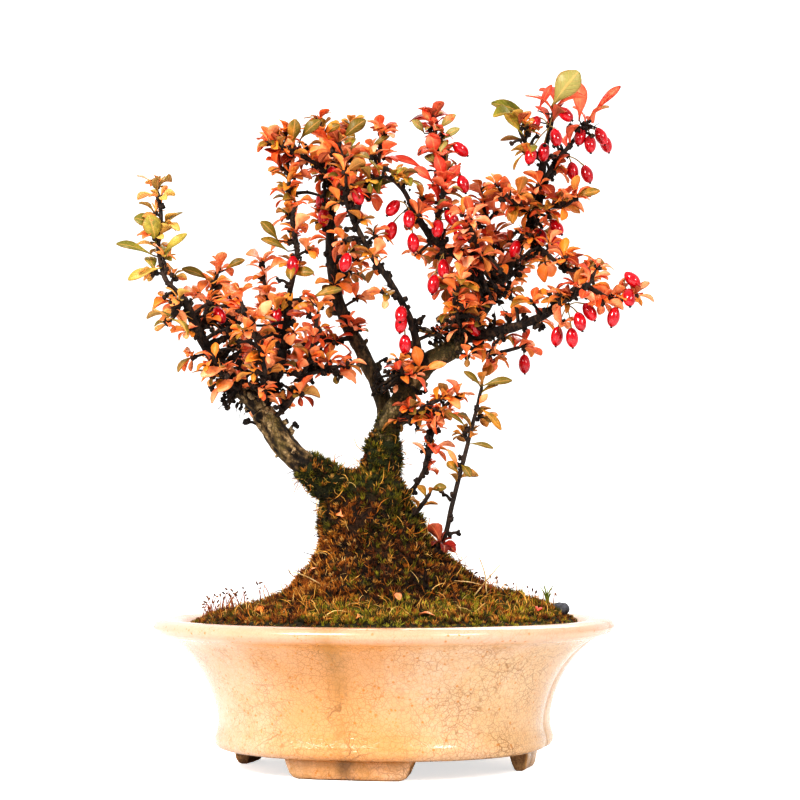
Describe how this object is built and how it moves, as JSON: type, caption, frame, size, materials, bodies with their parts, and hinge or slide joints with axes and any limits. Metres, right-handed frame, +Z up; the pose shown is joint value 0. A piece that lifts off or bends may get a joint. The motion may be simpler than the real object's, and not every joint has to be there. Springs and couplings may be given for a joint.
{
  "type": "bonsai tree",
  "caption": "Japanese barberry bonsai with orange autumn leaves and red berries, growing from a moss mound in a lobed, crackle-glazed pot on bracket feet.",
  "frame": {"origin": "middle of the pot on the surface it stands on, at the bottom of its feet", "axes": "+Z up, -Y towards the side shown in the picture, +X to the right as seen from there"},
  "size_m": [0.2511, 0.228, 0.3462],
  "materials": {
    "glaze": "gloss",
    "screen_mesh": "matte",
    "soil": "matte",
    "moss": "matte",
    "bark": "matte",
    "pebble_stone": "satin",
    "leaf_orange": "satin",
    "leaf_coral": "satin",
    "leaf_gold": "satin",
    "leaf_olive": "satin",
    "leaf_red": "satin",
    "berry_skin": "gloss"
  },
  "bodies": {
    "root": {"pot": "glaze", "drainage_screen": "screen_mesh", "soil": "soil", "moss": "moss", "trunk_and_limbs": "bark", "pebble": "pebble_stone", "spray_far_left": "leaf_gold", "spray_left_inner": "leaf_orange", "spray_left_back": "leaf_coral", "spray_left_low": "leaf_orange", "spray_left_mid": "leaf_coral", "spray_left_front": "leaf_orange", "spray_left_gap": "leaf_orange", "spray_left_tall": "leaf_orange", "spray_fork_side": "leaf_coral", "spray_fork_inner": "leaf_orange", "spray_crown_mid": "leaf_orange", "spray_crown_left": "leaf_orange", "spray_crown_back": "leaf_olive", "spray_crown_front": "leaf_orange", "spray_crown_right": "leaf_coral", "spray_heart_green": "leaf_olive", "spray_heart_top": "leaf_red", "spray_heart_back": "leaf_coral", "spray_heart_right": "leaf_orange", "spray_heart_low": "leaf_coral", "spray_top": "leaf_red", "spray_top_left": "leaf_olive", "spray_top_right": "leaf_red", "spray_right_high": "leaf_orange", "spray_right_mid": "leaf_orange", "spray_right_front": "leaf_coral", "spray_right_tip": "leaf_orange", "spray_right_back": "leaf_orange", "spray_right_low": "leaf_coral", "spray_center_back": "leaf_orange", "spray_center_front": "leaf_orange", "spray_collar": "leaf_coral", "spray_trunk_side": "leaf_orange", "spray_sucker_inner": "leaf_coral", "spray_sucker_outer": "leaf_orange", "spray_sucker_short": "leaf_orange", "berries_top": "berry_skin", "berries_top_right": "berry_skin", "berries_top_hang": "berry_skin", "berries_heart_top": "berry_skin", "berries_leader": "berry_skin", "berries_heart": "berry_skin", "berries_crown": "berry_skin", "berries_heart_green": "berry_skin", "berries_heart_low": "berry_skin", "berries_rod": "berry_skin", "berries_limb": "berry_skin", "berries_left": "berry_skin", "berries_far_left": "berry_skin", "berries_right_tip": "berry_skin", "berries_right_arm": "berry_skin", "berries_right_low": "berry_skin", "berries_back_left": "berry_skin", "berries_back_heart": "berry_skin"}
  },
  "joints": []
}
